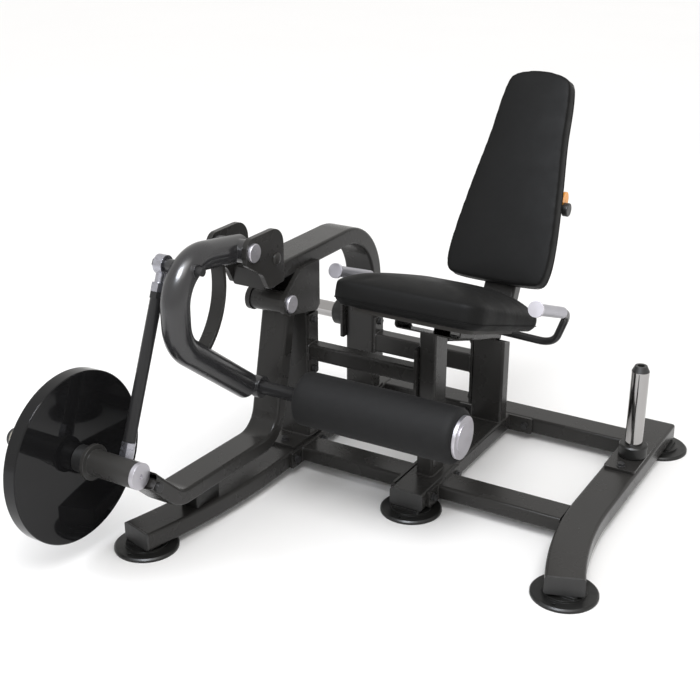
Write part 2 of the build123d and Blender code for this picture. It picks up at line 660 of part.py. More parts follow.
with BuildPart() as front_seat_post:
    with BuildSketch(Plane(origin=(0, POST_Y, BEAM_TOP))):
        box_section(POST_W, POST_L)
    extrude(amount=600)
    below_seat(BRACKET_LOW)
    for bolt in POST_FLANGE_BOLTS:
        hole(across(-POST_W / 2, bolt, -1), 13, WALL)
front_seat_post.part.label = "front_seat_post"
export_step(front_seat_post.part, "parts/front_seat_post.step")

with BuildPart() as rear_seat_post:
    with BuildSketch(Plane(origin=(0, REAR_Y, BEAM_TOP))):
        box_section(TUBE_W, TUBE_H)
    extrude(amount=600)
    below_seat(RAIL_LOW)
    for bolt in REAR_POST_BOLTS:
        hole(across(-TUBE_W / 2, bolt, -1), 13, WALL)
rear_seat_post.part.label = "rear_seat_post"
export_step(rear_seat_post.part, "parts/rear_seat_post.step")

with BuildPart() as front_upper_cross_tube:
    with BuildSketch(across(LEFT_NEAR + PLATE, (116, 354))):
        box_section(46, 48)
    extrude(amount=-POST_W / 2 - LEFT_NEAR - 2 * PLATE)
    flange(LEFT_NEAR, 1, FRONT_FLANGE[0], FRONT_FLANGE[2], FRONT_FLANGE[1], FRONT_FLANGE[3], FRONT_FLANGE_BOLTS)
    flange(-POST_W / 2, -1, POST_FLANGE[0], 100, POST_FLANGE[1], 168, POST_FLANGE_BOLTS)
front_upper_cross_tube.part.label = "front_upper_cross_tube"
export_step(front_upper_cross_tube.part, "parts/front_upper_cross_tube.step")

with BuildPart() as rear_upper_cross_tube:
    with BuildSketch(across(LEFT_NEAR + PLATE, (REAR_Y, 246))):
        box_section(TUBE_H, 60)
    extrude(amount=-TUBE_W / 2 - LEFT_NEAR - 2 * PLATE)
    flange(LEFT_NEAR, 1, REAR_FLANGE[0], REAR_FLANGE[2], REAR_FLANGE[1], REAR_FLANGE[3], REAR_FLANGE_BOLTS)
    flange(-TUBE_W / 2, -1, REAR_POST_FLANGE[0], 48, REAR_POST_FLANGE[1], 220, REAR_POST_BOLTS)
rear_upper_cross_tube.part.label = "rear_upper_cross_tube"
export_step(rear_upper_cross_tube.part, "parts/rear_upper_cross_tube.step")

SEAT_CROSS = Plane(origin=SEAT.from_local_coords((0, BRACKET_Y[0], BOARD_LOW - BRACKET_H / 2)),
                   x_dir=(1, 0, 0), z_dir=(0, TILT_COS, -TILT_SIN))

with BuildPart() as seat_bracket:
    with BuildSketch(SEAT_CROSS):
        box_section(196, BRACKET_H, 12, 4)
    extrude(amount=BRACKET_Y[1] - BRACKET_Y[0])
seat_bracket.part.label = "seat_bracket"
export_step(seat_bracket.part, "parts/seat_bracket.step")

RAIL_START = Plane(origin=SEAT.from_local_coords((0, BRACKET_Y[1], BOARD_LOW - RAIL / 2)),
                   x_dir=(1, 0, 0), z_dir=(0, TILT_COS, -TILT_SIN))

with BuildPart() as seat_rail:
    with BuildSketch(RAIL_START):
        box_section(RAIL, RAIL)
    extrude(amount=RAIL_END - BRACKET_Y[1])
    with BuildSketch(RAIL_START.offset(RAIL_END - BRACKET_Y[1])):
        RectangleRounded(RAIL, RAIL, TUBE_R)
    extrude(amount=4)
seat_rail.part.label = "seat_rail"
export_step(seat_rail.part, "parts/seat_rail.step")

with BuildPart() as seat_board:
    with BuildSketch(SEAT.offset(BOARD_LOW)):
        with Locations((0, SEAT_L / 2 + 4)):
            RectangleRounded(SEAT_FRONT_W - 74, SEAT_L - 80, 40)
    extrude(amount=BOARD_T)
seat_board.part.label = "seat_board"
export_step(seat_board.part, "parts/seat_board.step")

def seat_outline(level, inset=0.0, front_radius=50, rear_radius=38):
    """Rounded trapezoid of the seat pad at a level of the seat frame."""
    front = SEAT_FRONT_W / 2 - inset
    rear = SEAT_REAR_W / 2 - inset
    end = SEAT_L - inset
    with BuildSketch(SEAT.offset(level)) as outline:
        with BuildLine():
            Polyline((-front, inset), (front, inset), (rear, end), (-rear, end), close=True)
        make_face()
        fillet(outline.vertices().filter_by_position(Axis.Y, inset - 1, inset + 1), front_radius)
        fillet(outline.vertices().filter_by_position(Axis.Y, end - 1, end + 1), rear_radius)
    return outline.sketch


SHOULDER_RISE = SEAT_SHOULDER - SEAT_RIDGE[1]
RIDGE_POINTS = ((-10, 60), (-10, SEAT_RIDGE[0]), (SEAT_L + 10, SEAT_RIDGE[1]), (SEAT_L + 10, 60))
SEAT_PROFILE = Plane(origin=SEAT.origin, x_dir=(0, TILT_COS, -TILT_SIN), z_dir=(1, 0, 0))

with BuildPart() as seat_pad:
    extrude(seat_outline(16 - SEAT_T), amount=SEAT_T - 16)
    with BuildSketch(SEAT_PROFILE) as above_ridge:
        with BuildLine():
            Polyline(*RIDGE_POINTS, close=True)
        make_face()
    extrude(above_ridge.sketch, amount=SEAT_REAR_W, both=True, mode=Mode.SUBTRACT)
    extrude(seat_outline(16 - SEAT_T), amount=-16, taper=48)
    extrude(seat_outline(SEAT_RIDGE[1]), amount=SHOULDER_RISE, taper=36)
    extrude(seat_outline(SEAT_SHOULDER, 27, 78, 78), amount=SEAT_CROWN - SEAT_SHOULDER, taper=60)
seat_pad.part.label = "seat_pad"
export_step(seat_pad.part, "parts/seat_pad.step")

# ---------------------------------------------------------------- handles
ROD_Y = 383.0
ROD_Z = 416.0
ELBOW_X = 239.0
GRIP_REAR = (327.0, 528.0)
GRIP_FRONT = (96.0, 615.0)
GRIP_L = hypot(GRIP_FRONT[0] - GRIP_REAR[0], GRIP_FRONT[1] - GRIP_REAR[1])
GRIP_DIR = (0, (GRIP_FRONT[0] - GRIP_REAR[0]) / GRIP_L, (GRIP_FRONT[1] - GRIP_REAR[1]) / GRIP_L)


def along(start, end, distance):
    """Point at a distance from start toward end."""
    return start + (end - start).normalized() * distance


with BuildPart() as handle_rods:
    for side in (-1, 1):
        inner = Vector(side * (RAIL / 2 + GAP), ROD_Y, ROD_Z)
        elbow = Vector(side * ELBOW_X, ROD_Y, ROD_Z - 8)
        knee = Vector(side * HANDLE_X, GRIP_REAR[0], GRIP_REAR[1])
        tip = Vector(side * HANDLE_X, GRIP_FRONT[0], GRIP_FRONT[1])
        with BuildLine() as rod_path:
            Line(inner, along(elbow, inner, 45))
            Bezier(along(elbow, inner, 45), elbow, along(elbow, knee, 45))
            Line(along(elbow, knee, 45), along(knee, elbow, 38))
            Bezier(along(knee, elbow, 38), knee, along(knee, tip, 38))
            Line(along(knee, tip, 38), tip)
        with BuildSketch(Plane(origin=inner, x_dir=(0, 1, 0), z_dir=elbow - inner)):
            Circle(ROD_D / 2)
        sweep(path=rod_path.line)
handle_rods.part.label = "handle_rods"
export_step(handle_rods.part, "parts/handle_rods.step")


def grip_plane(side, distance):
    y = GRIP_FRONT[0] - GRIP_DIR[1] * distance
    z = GRIP_FRONT[1] - GRIP_DIR[2] * distance
    return Plane(origin=(side * HANDLE_X, y, z), x_dir=(1, 0, 0), z_dir=GRIP_DIR)


with BuildPart() as hand_grips:
    for side in (-1, 1):
        ring(grip_plane(side, 196), GRIP_D, ROD_D, 196)
hand_grips.part.label = "hand_grips"
export_step(hand_grips.part, "parts/hand_grips.step")

with BuildPart() as grip_caps:
    for side in (-1, 1):
        disc(grip_plane(side, 0), 42, 9)
grip_caps.part.label = "grip_caps"
export_step(grip_caps.part, "parts/grip_caps.step")

# ---------------------------------------------------------------- back rest
LEAN_SIN = sin(radians(BACK_LEAN))
LEAN_COS = cos(radians(BACK_LEAN))
BACK = Plane(origin=(0, BACK_FOOT[0], BACK_FOOT[1]), x_dir=(1, 0, 0), z_dir=(0, -LEAN_COS, LEAN_SIN))
BOARD_BACK = -BACK_T - 2 - BACK_BOARD_T
MOUNT_BACK = BOARD_BACK - 5
ADJUST_U = 244.0        # slide height up the pad
SLIDE = 60.0
HOUSING = 74.0
HOUSING_L = 124.0
SLIDE_L = 172.0
PIN_DEPTH = 20.0        # pull pin behind the mounting plate


BACK_HALF = ((130, -7), (152, 10), (158, 82), (141, 250), (117, 420), (103, 560), (84, 606))


def back_outline(inset):
    """Closed pad outline, wide at the foot and narrow at the head."""
    right = [(x - inset, y + inset * (1 - y / 300)) for x, y in BACK_HALF]
    left = [(-x, y) for x, y in right[::-1]]
    Spline(*right, (0, 625 - inset), *left, (0, inset - 12), right[0])


with BuildPart() as back_pad:
    with BuildSketch(BACK.offset(-BACK_T)):
        with BuildLine():
            back_outline(0)
        make_face()
    extrude(amount=BACK_T)
back_pad.part.label = "back_pad"
export_step(back_pad.part, "parts/back_pad.step")

with BuildPart() as back_board:
    with BuildSketch(BACK.offset(BOARD_BACK)):
        with BuildLine():
            back_outline(14)
        make_face()
    extrude(amount=BACK_BOARD_T)
back_board.part.label = "back_board"
export_step(back_board.part, "parts/back_board.step")

SLIDE_HOLES = (20.0, 50.0, 80.0, 110.0)      # locking holes behind the mounting plate
PIN_D = 9.0

with BuildPart() as back_slide:
    with BuildSketch(BACK.offset(MOUNT_BACK)):
        with Locations((0, ADJUST_U)):
            RectangleRounded(150, 72, 8)
    extrude(amount=5)
    with BuildSketch(BACK.offset(MOUNT_BACK)):
        with Locations((0, ADJUST_U)):
            box_section(SLIDE, SLIDE, 5)
    extrude(amount=-SLIDE_L)
    with BuildSketch(BACK.offset(MOUNT_BACK - SLIDE_L)):
        with Locations((0, ADJUST_U)):
            RectangleRounded(SLIDE, SLIDE, 5)
    extrude(amount=-4)
    for depth in SLIDE_HOLES:
        origin = BACK.from_local_coords((SLIDE / 2, ADJUST_U, MOUNT_BACK - depth))
        hole(facing(origin, (1, 0, 0)), PIN_D + 1, WALL)
back_slide.part.label = "back_slide"
export_step(back_slide.part, "parts/back_slide.step")

HOUSING_FRONT = MOUNT_BACK - 2
PIN_ORIGIN = BACK.from_local_coords((0, ADJUST_U, MOUNT_BACK - PIN_DEPTH))


def pin_plane(x):
    return Plane(origin=(x, PIN_ORIGIN.Y, PIN_ORIGIN.Z), x_dir=(0, LEAN_SIN, LEAN_COS), z_dir=(1, 0, 0))


with BuildPart() as back_housing:
    with BuildSketch(BACK.offset(HOUSING_FRONT)):
        with Locations((0, ADJUST_U)):
            RectangleRounded(HOUSING, HOUSING, 8)
            RectangleRounded(SLIDE + 1, SLIDE + 1, 5.5, mode=Mode.SUBTRACT)
    extrude(amount=-HOUSING_L)
    disc(pin_plane(HOUSING / 2), 22, 30)
    hole(pin_plane(HOUSING / 2 + 30), PIN_D + 2 * RUN, 40)
back_housing.part.label = "back_housing"
export_step(back_housing.part, "parts/back_housing.step")

POST_CENTRE = -POST_FRONT - TUBE_H / 2
POST_CUT = Plane(origin=BACK.from_local_coords((0, ADJUST_U - HOUSING / 2, POST_CENTRE)),
                 x_dir=(1, 0, 0), z_dir=(0, -LEAN_SIN, -LEAN_COS))

with BuildPart() as back_post:
    with BuildSketch(POST_CUT):
        box_section(TUBE_W, TUBE_H)
    extrude(amount=600)
    with BuildSketch(SEAT.offset(BOARD_LOW)):
        Rectangle(CUTTER, CUTTER)
    extrude(amount=-CUTTER, mode=Mode.SUBTRACT)
    with BuildSketch(POST_CUT):
        RectangleRounded(TUBE_W, TUBE_H, TUBE_R)
    extrude(amount=4)
back_post.part.label = "back_post"
export_step(back_post.part, "parts/back_post.step")

with BuildPart() as pull_pin:
    disc(pin_plane(SLIDE / 2 + 0.6), PIN_D, 101.4)
pull_pin.part.label = "pull_pin"
export_step(pull_pin.part, "parts/pull_pin.step")

with BuildPart() as pull_knob:
    disc(pin_plane(SLIDE / 2 + 102), 40, 18)
    fillet(pull_knob.edges().filter_by(GeomType.CIRCLE), 3)
pull_knob.part.label = "pull_knob"
export_step(pull_knob.part, "parts/pull_knob.step")

with BuildPart() as pull_disc:
    with BuildSketch(pin_plane(SLIDE / 2 + 95)):
        with Locations((29, 0)):
            Circle(23)
    extrude(amount=7)
pull_disc.part.label = "pull_disc"
export_step(pull_disc.part, "parts/pull_disc.step")

# ---------------------------------------------------------------- plate storage horns
STORE_X = 466.0
STORE_POST = facing((STORE_X, STORE_Y, BEAM_TOP), (0, 0, 1), (0, 1, 0))
STORE_FOOT = facing((RIGHT_X, STORE_Y, BEAM_TOP), (0, 0, 1), (0, 1, 0))
STORE_SIDE = across(LEFT_FAR, (REAR_Y, SIDE_STORE_Z), -1)
STORE_L = 262.0
RING_H = 38.0


def store_plate(plane, length, width, pitch, bolt):
    with BuildSketch(plane) as profile:
        RectangleRounded(length, width, 8)
        with Locations((-pitch, 0), (pitch, 0)):
            Circle(bolt / 2 + GAP, mode=Mode.SUBTRACT)
    extrude(profile.sketch, amount=PLATE)


SIDE_ROTATED = Plane(origin=STORE_SIDE.origin, x_dir=(0, 0, 1), z_dir=(-1, 0, 0))

with BuildPart() as storage_plates:
    store_plate(STORE_FOOT, 204, 90, 82, 12)
    store_plate(SIDE_ROTATED, 138, 92, SIDE_PITCH, 10)
storage_plates.part.label = "storage_plates"
export_step(storage_plates.part, "parts/storage_plates.step")

with BuildPart() as storage_tubes:
    for plane in (STORE_POST, STORE_SIDE):
        ring(plane.offset(PLATE), HORN_D - 2, HORN_D - 8, RING_H)
        ring(plane.offset(PLATE + RING_H), HORN_D, HORN_D - 8, STORE_L - RING_H)
storage_tubes.part.label = "storage_tubes"
export_step(storage_tubes.part, "parts/storage_tubes.step")

with BuildPart() as storage_rings:
    for plane in (STORE_POST, STORE_SIDE):
        ring(plane.offset(PLATE), 82, HORN_D - 2, RING_H)
    chamfer(storage_rings.edges().filter_by(GeomType.CIRCLE).sort_by(SortBy.RADIUS)[-4:], 4)
storage_rings.part.label = "storage_rings"
export_step(storage_rings.part, "parts/storage_rings.step")

with BuildPart() as storage_caps:
    for plane in (STORE_POST, STORE_SIDE):
        with BuildSketch(plane.offset(PLATE + STORE_L)) as cap_profile:
            Circle(HORN_D / 2)
        extrude(cap_profile.sketch, amount=16, taper=26)
        hole(plane.offset(PLATE + STORE_L + 16), 20, 9)
storage_caps.part.label = "storage_caps"
export_step(storage_caps.part, "parts/storage_caps.step")

# ---------------------------------------------------------------- fasteners
SHANK = PLATE + WALL + 4

with BuildPart() as base_bolts:
    for bolt_y in CROSS_BOLTS:
        for x, side in ((CENTRE_SIDE + PLATE, 1), (-CENTRE_SIDE - PLATE, -1), (LEFT_NEAR + PLATE, 1)):
            hex_bolt(facing((x, bolt_y, BEAM_MID), (side, 0, 0)), 12, SHANK)
    for side in (-1, 1):
        end_x = side * REAR_BOLT_X
        hex_bolt(facing((end_x, CENTRE_REAR, BEAM_MID), (0, -1, 0)), 12, SHANK)
    for bolt_y in COLUMN_BOLTS + REAR_BOLTS:
        hex_bolt(facing((LEFT_X, bolt_y, PLATE_TOP), (0, 0, 1)), 12, 17)
    for bolt_y in STORE_BOLTS:
        hex_bolt(facing((RIGHT_X, bolt_y, BEAM_TOP + PLATE), (0, 0, 1)), 12, SHANK)
    for bolt_z in (SIDE_STORE_Z - SIDE_PITCH, SIDE_STORE_Z + SIDE_PITCH):
        hex_bolt(across(LEFT_FAR - PLATE, (REAR_Y, bolt_z), -1), 10, SHANK)
base_bolts.part.label = "base_bolts"
export_step(base_bolts.part, "parts/base_bolts.step")

with BuildPart() as upper_frame_bolts:
    for bolt in FRONT_FLANGE_BOLTS + REAR_FLANGE_BOLTS:
        hex_bolt(across(LEFT_NEAR + PLATE, bolt), 12, SHANK)
    for bolt in POST_FLANGE_BOLTS:
        hex_bolt(across(-POST_W / 2 - PLATE, bolt, -1), 12, SHANK)
    for bolt in REAR_POST_BOLTS:
        hex_bolt(across(-TUBE_W / 2 - PLATE, bolt, -1), 12, SHANK)
upper_frame_bolts.part.label = "upper_frame_bolts"
export_step(upper_frame_bolts.part, "parts/upper_frame_bolts.step")
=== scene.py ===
"""Leg extension machine: materials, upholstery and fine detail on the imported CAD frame."""

import json
import math

import bpy
import numpy as np
from mathutils import Matrix, Vector, noise


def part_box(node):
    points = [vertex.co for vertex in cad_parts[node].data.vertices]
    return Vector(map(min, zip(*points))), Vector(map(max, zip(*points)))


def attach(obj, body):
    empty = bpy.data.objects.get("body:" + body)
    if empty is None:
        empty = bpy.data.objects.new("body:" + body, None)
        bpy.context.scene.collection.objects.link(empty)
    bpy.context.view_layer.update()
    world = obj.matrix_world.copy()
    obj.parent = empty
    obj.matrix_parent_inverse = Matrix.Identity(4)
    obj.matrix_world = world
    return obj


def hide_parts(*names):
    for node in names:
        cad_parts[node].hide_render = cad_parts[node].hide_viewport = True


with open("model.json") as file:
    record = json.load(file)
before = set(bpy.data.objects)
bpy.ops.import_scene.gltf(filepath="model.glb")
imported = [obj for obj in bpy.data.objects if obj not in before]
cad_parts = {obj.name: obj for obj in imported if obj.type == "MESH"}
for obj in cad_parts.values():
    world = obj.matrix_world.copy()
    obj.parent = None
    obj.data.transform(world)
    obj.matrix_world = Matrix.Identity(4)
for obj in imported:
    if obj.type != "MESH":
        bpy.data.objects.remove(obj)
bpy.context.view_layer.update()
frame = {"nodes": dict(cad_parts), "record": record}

MM = 0.001

# ---------------------------------------------------------------- driving sizes, millimetres and radians
# Each pad has a local frame: X is across it, Y runs along it (rearward on the seat, upward on the back) and Z
# points out of its face. A level is a local Z.
SEAT_TILT = math.radians(18.7)
SEAT_ORIGIN = (0, -72, 666)
SEAT_L = 415
SEAT_FRONT = 211                 # half width at the front
SEAT_REAR = 228                  # half width at the rear
SEAT_CORNERS = (50, 50, 38, 38)  # radii, the two front corners first
SEAT_CORNER_MIN = 10
SEAT_RIDGE = (-6, -28)           # level of the sewn top edge, front and rear
SEAT_DOME = 29                   # level of the face's middle
SEAT_BOARD = -66                 # the pad is fixed to its board below this level
SEAT_SEAM = -52
SEAT_STRIP_H = 4                 # half height and half width of the strip held along the sewn edge
SEAT_STRIP_W = 6

BACK_LEAN = math.radians(28)
BACK_ORIGIN = (0, 480, 536)
BACK_HALF = ((130, -7), (152, 10), (158, 82), (141, 250), (117, 420), (103, 560), (84, 606))
BACK_TOP = 624
BACK_LOW = -11
BACK_DOME = 1.5
BACK_BOARD = -54
BACK_FACE_EDGE = -7              # the sewn front edge lies above this level
BACK_SEAM = -47
BACK_STRIP_W = 5

TUBE_W = 100                     # main rectangular tube
TUBE_H = 50
TUBE_R = 8
PLATE = 8                        # flange plates
BEAM_TOP = 72
COLUMN_FOOT = BEAM_TOP + 10      # top of the column base plates
LEFT_X = -443                    # middle plane of the leg arm side
LEFT_FLANGE = LEFT_X + TUBE_W / 2 + PLATE
CENTRE_FLANGE = TUBE_W / 2 + PLATE
COLUMN_Y = 121
REAR_Y = 505                     # rear column and rear seat post
POST_Y = 112                     # front seat post
POST_W = 50
POST_L = 78
REAR_POST_W = 96
CROSS_W = 88                     # low front cross tubes
CROSS_H = 42
CROSS_TUBE = (91.5, 47)          # Y and Z of their middle line
UPPER_TUBE = (114, 354)
REAR_TUBE = (REAR_Y, 246)
HANDLE_ROD = (383, 415.8)
HANDLE_ROD_R = 11.5
HANDLE_WELD_X = 26
FILLET = 3.2                     # weld bead radius on columns and posts
CROSS_FILLET = 2.6
ROD_FILLET = 2.0
KNEE_BUTTON = (LEFT_X + 64, -72, 683)
BUTTON_OUTLINE = ((0, 17), (1.2, 17.6), (3.2, 16.8), (5.6, 14), (7.4, 9.6), (8.4, 4))  # X, radius

# Floor and camera, metres.
FLOOR_HALF = 30
CAMERA = (1.3388, -2.6088, 1.7)
CAMERA_LOOK = (-0.4677, 0.7953, -0.3856)

# ---------------------------------------------------------------- fineness
CORNER_POINTS = 12
SIDE_POINTS = 16
SPLINE_STEPS = 24
BACK_POINTS = 180
BASE_SCALES = (0.08, 0.3, 0.55, 0.8, 0.92)  # rings across a pad's underside
FACE_RINGS = 18
CORD_SIDES = 8
FOAM_RUN = 24
WELD_STEP = 2.5                  # millimetres
RIPPLE_STEP = 2.1                # radians of weld ripple from one point to the next
VOXEL = 5 * MM
CLOTH_FRAMES = 20


# ---------------------------------------------------------------- material building
def rgba(color):
    """Give a plain colour its alpha; a socket passes through."""
    return (*color, 1) if isinstance(color, tuple) else color


def times(color, factor):
    return tuple(factor * c for c in color)


def grey(level):
    return (level, level, level)


class Finish:
    """One procedural material, its patterns laid out in object space."""

    FLAT_COS = 0.985        # cosine between a face's own and its rounded normal: above this it is open,
    SHARP_COS = 0.86        # below this it is at an edge
    NOISE_SPAN = (0.3, 0.7)  # most of a noise pattern lies between these

    def __init__(self, name):
        self.mat = bpy.data.materials.new(name)
        self.mat.use_nodes = True
        self.tree = self.mat.node_tree
        self.bsdf = self.tree.nodes["Principled BSDF"]
        self.coord = self.tree.nodes.new("ShaderNodeTexCoord").outputs["Object"]

    def plug(self, socket, value):
        """Link a socket to another one, or set its value."""
        if hasattr(value, "is_linked"):
            self.tree.links.new(value, socket)
        else:
            socket.default_value = value

    def node(self, kind, settings=None, **inputs):
        made = self.tree.nodes.new(kind)
        for key, value in (settings or {}).items():
            setattr(made, key, value)
        for key, value in inputs.items():
            self.plug(made.inputs[key.replace("_", " ")], value)
        return made

    def stretch(self, x, y, z):
        return self.node("ShaderNodeMapping", Vector=self.coord, Scale=(x, y, z)).outputs[0]

    def noise(self, scale, detail=3.0, rough=0.55, vector=None):
        made = self.node("ShaderNodeTexNoise", Vector=vector or self.coord, Scale=scale,
                         Detail=detail, Roughness=rough)
        return made.outputs["Fac"]

    def cells(self, scale, feature="DISTANCE_TO_EDGE"):
        made = self.node("ShaderNodeTexVoronoi", {"feature": feature}, Vector=self.coord, Scale=scale)
        return made.outputs["Distance"]

    def span(self, value, low, high, to_low, to_high):
        """Carry low..high onto to_low..to_high, held at both ends."""
        made = self.tree.nodes.new("ShaderNodeMapRange")
        for socket, item in zip(made.inputs, (value, low, high, to_low, to_high)):
            self.plug(socket, item)
        return made.outputs[0]

    def drift(self, scale, detail, to_low, to_high):
        """A value wandering between two others from place to place."""
        return self.span(self.noise(scale, detail), *self.NOISE_SPAN, to_low, to_high)

    def math(self, operation, a, b):
        made = self.node("ShaderNodeMath", {"operation": operation})
        self.plug(made.inputs[0], a)
        self.plug(made.inputs[1], b)
        return made.outputs[0]

    def mix(self, fac, a, b):
        made = self.node("ShaderNodeMixRGB")
        self.plug(made.inputs[0], fac)
        self.plug(made.inputs[1], rgba(a))
        self.plug(made.inputs[2], rgba(b))
        return made.outputs[0]

    def soft_edge(self, radius):
        """Normal that rounds the mesh's sharp edges."""
        return self.node("ShaderNodeBevel", {"samples": 6}, Radius=radius).outputs[0]

    def edge_mask(self, radius):
        """One along sharp edges, zero on open faces."""
        flat = self.tree.nodes.new("ShaderNodeNewGeometry").outputs["True Normal"]
        made = self.node("ShaderNodeVectorMath", {"operation": "DOT_PRODUCT"})
        self.plug(made.inputs[0], self.soft_edge(radius))
        self.plug(made.inputs[1], flat)
        return self.span(made.outputs["Value"], self.FLAT_COS, self.SHARP_COS, 0.0, 1.0)

    def bump(self, height, strength, distance, normal=None):
        made = self.node("ShaderNodeBump", Height=height, Strength=strength, Distance=distance)
        if normal is not None:
            self.plug(made.inputs["Normal"], normal)
        return made.outputs[0]

    def done(self, color, rough, normal=None, metal=0.0, **extra):
        self.plug(self.bsdf.inputs["Base Color"], rgba(color))
        self.plug(self.bsdf.inputs["Roughness"], rough)
        self.bsdf.inputs["Metallic"].default_value = metal
        if normal is not None:
            self.plug(self.bsdf.inputs["Normal"], normal)
        for key, value in extra.items():
            self.plug(self.bsdf.inputs[key.replace("_", " ")], value)
        return self.mat


# ---------------------------------------------------------------- kinds of finish
def powder_coat(name, dark, light, rough, specular=0.23):
    """Satin powder coat: orange peel, slight tone drift, sharp edges a little lighter in patches."""
    f = Finish(name)
    tone = f.mix(f.noise(5.0), dark, light)
    patches = f.span(f.noise(70.0), 0.35, 0.75, 0.1, 0.55)
    # Sharp edges are made lighter in patches.
    lighter_edges = f.math("MULTIPLY", f.edge_mask(2.2 * MM), patches)
    color = f.mix(lighter_edges, tone, times(light, 3.2))
    gloss = f.drift(9.0, 5.0, rough - 0.05, rough + 0.06)
    peel = f.bump(f.noise(950.0, 2.0), strength=0.16, distance=0.25 * MM, normal=f.soft_edge(1.6 * MM))
    return f.done(color, gloss, peel, Specular_IOR_Level=specular)


def vinyl(name, dark, light):
    """Matte upholstery vinyl with fine pebble grain, painted shade in the creases between pebbles, and faint
    stretch marks.
    """
    f = Finish(name)
    pebbles = f.cells(520.0)
    grain = f.math("ADD", f.span(pebbles, 0.0, 0.22, 0.0, 1.0), f.math("MULTIPLY", f.noise(1500.0), 0.5))
    tone = f.mix(f.noise(11.0, 4.0), dark, light)
    # Painted shade: the creases between the pebbles are painted darker.
    crease_shade = f.span(pebbles, 0.0, 0.1, 0.35, 0.0)
    color = f.mix(crease_shade, tone, times(dark, 0.45))
    gloss = f.drift(16.0, 4.0, 0.44, 0.56)
    pull = f.bump(f.noise(20.0, 2.0), strength=0.12, distance=3 * MM)
    return f.done(color, gloss, f.bump(grain, strength=0.2, distance=0.3 * MM, normal=pull),
                  Specular_IOR_Level=0.07)


def foam(name):
    """Closed-cell foam sleeve with open pores, painted darker inside as painted shade."""
    f = Finish(name)
    pores = f.span(f.cells(900.0, "F1"), 0.1, 0.6, 0.0, 1.0)
    tone = f.mix(f.noise(40.0), (0.007, 0.007, 0.0073), (0.011, 0.011, 0.0114))
    # Painted shade: the pores are painted darker.
    color = f.mix(f.span(pores, 0.0, 0.4, 0.6, 0.0), tone, grey(0.005))
    soft = f.bump(f.noise(60.0), strength=0.25, distance=1.2 * MM)
    return f.done(color, 0.72, f.bump(pores, strength=0.4, distance=0.4 * MM, normal=soft),
                  Specular_IOR_Level=0.2)


def rubber(name):
    """Moulded rubber with a light bloom."""
    f = Finish(name)
    color = f.mix(f.noise(26.0, 5.0), grey(0.006), (0.013, 0.013, 0.012))
    gloss = f.drift(55.0, 4.0, 0.30, 0.48)
    skin = f.bump(f.noise(700.0), strength=0.2, distance=0.2 * MM, normal=f.soft_edge(1.5 * MM))
    return f.done(color, gloss, skin, Specular_IOR_Level=0.35)


def turned_metal(name, color, rough, grooves=0.1):
    """Satin turned metal: fine lathe rings about X and a little haze."""
    f = Finish(name)
    rings = f.noise(1.0, 2.0, 0.5, f.stretch(2600.0, 30.0, 30.0))
    haze = f.drift(35.0, 4.0, rough - 0.05, rough + 0.06)
    tone = f.mix(f.noise(18.0), times(color, 0.9), color)
    lathed = f.bump(rings, strength=grooves, distance=0.1 * MM, normal=f.soft_edge(1.2 * MM))
    return f.done(tone, haze, lathed, metal=1.0)


def bright_metal(name, color, rough, blotch):
    """Plated or polished steel with faint swirl and tone change."""
    f = Finish(name)
    tone = f.mix(f.noise(blotch, 4.0), times(color, 0.86), color)
    haze = f.drift(120.0, 4.0, rough * 0.8, rough * 1.35)
    swirl = f.bump(f.noise(400.0), strength=0.04, distance=0.1 * MM, normal=f.soft_edge(0.9 * MM))
    return f.done(tone, haze, swirl, metal=1.0)


def plastic(name, dark, light, rough):
    """Moulded plastic with a light spark-eroded texture."""
    f = Finish(name)
    color = f.mix(f.noise(22.0), dark, light)
    gloss = f.drift(80.0, 3.0, rough - 0.05, rough + 0.05)
    texture = f.bump(f.noise(1100.0), strength=0.2, distance=0.2 * MM, normal=f.soft_edge(1.2 * MM))
    return f.done(color, gloss, texture)


def painted_board(name):
    """Black painted plywood, its grain just showing."""
    f = Finish(name)
    grain = f.noise(1.0, 5.0, 0.6, f.stretch(420.0, 26.0, 26.0))
    color = f.mix(grain, (0.012, 0.011, 0.010), (0.028, 0.025, 0.022))
    return f.done(color, 0.6, f.bump(grain, strength=0.3, distance=0.4 * MM))


def gloss_plate(name):
    """Polished black enamel on iron with faint wipe marks."""
    f = Finish(name)
    color = f.mix(f.noise(7.0), (0.006, 0.006, 0.0065), (0.009, 0.009, 0.0095))
    wipe = f.span(f.noise(14.0, 5.0), 0.35, 0.75, 0.035, 0.075)
    ripple = f.bump(f.noise(35.0, 1.0), strength=0.02, distance=0.2 * MM, normal=f.soft_edge(1.2 * MM))
    return f.done(color, wipe, ripple, Specular_IOR_Level=0.22)


FRAME_COAT = powder_coat("frame_coat", (0.0215, 0.021, 0.0205), (0.0265, 0.0255, 0.0242), 0.26)
ROD_COAT = powder_coat("rod_coat", (0.018, 0.018, 0.019), (0.024, 0.024, 0.025), 0.18)
HOUSING_COAT = powder_coat("housing_coat", (0.029, 0.029, 0.028), (0.036, 0.035, 0.034), 0.30)
ARM_COAT = powder_coat("arm_coat", (0.018, 0.018, 0.0195), (0.023, 0.0225, 0.024), 0.23, 0.62)
BLACK_STEEL = powder_coat("black_oxide", (0.020, 0.020, 0.021), (0.030, 0.030, 0.031), 0.30)
VINYL = vinyl("upholstery_vinyl", grey(0.0078), grey(0.0105))
SEAM = vinyl("seam_vinyl", grey(0.0055), grey(0.0075))
FOAM = foam("roller_foam_skin")
RUBBER = rubber("foot_rubber")
SILVER = turned_metal("satin_silver", (0.56, 0.545, 0.58), 0.40)
GRIP = turned_metal("grip_silver", (0.43, 0.425, 0.46), 0.38, 0.25)
HORN_STEEL = turned_metal("horn_steel", (0.42, 0.40, 0.35), 0.22)
ZINC = bright_metal("bright_zinc", (0.40, 0.40, 0.44), 0.28, 60.0)
CHROME = bright_metal("polished_chrome", (0.40, 0.39, 0.385), 0.08, 8.0)
PLUG = plastic("black_plastic", grey(0.012), grey(0.022), 0.42)
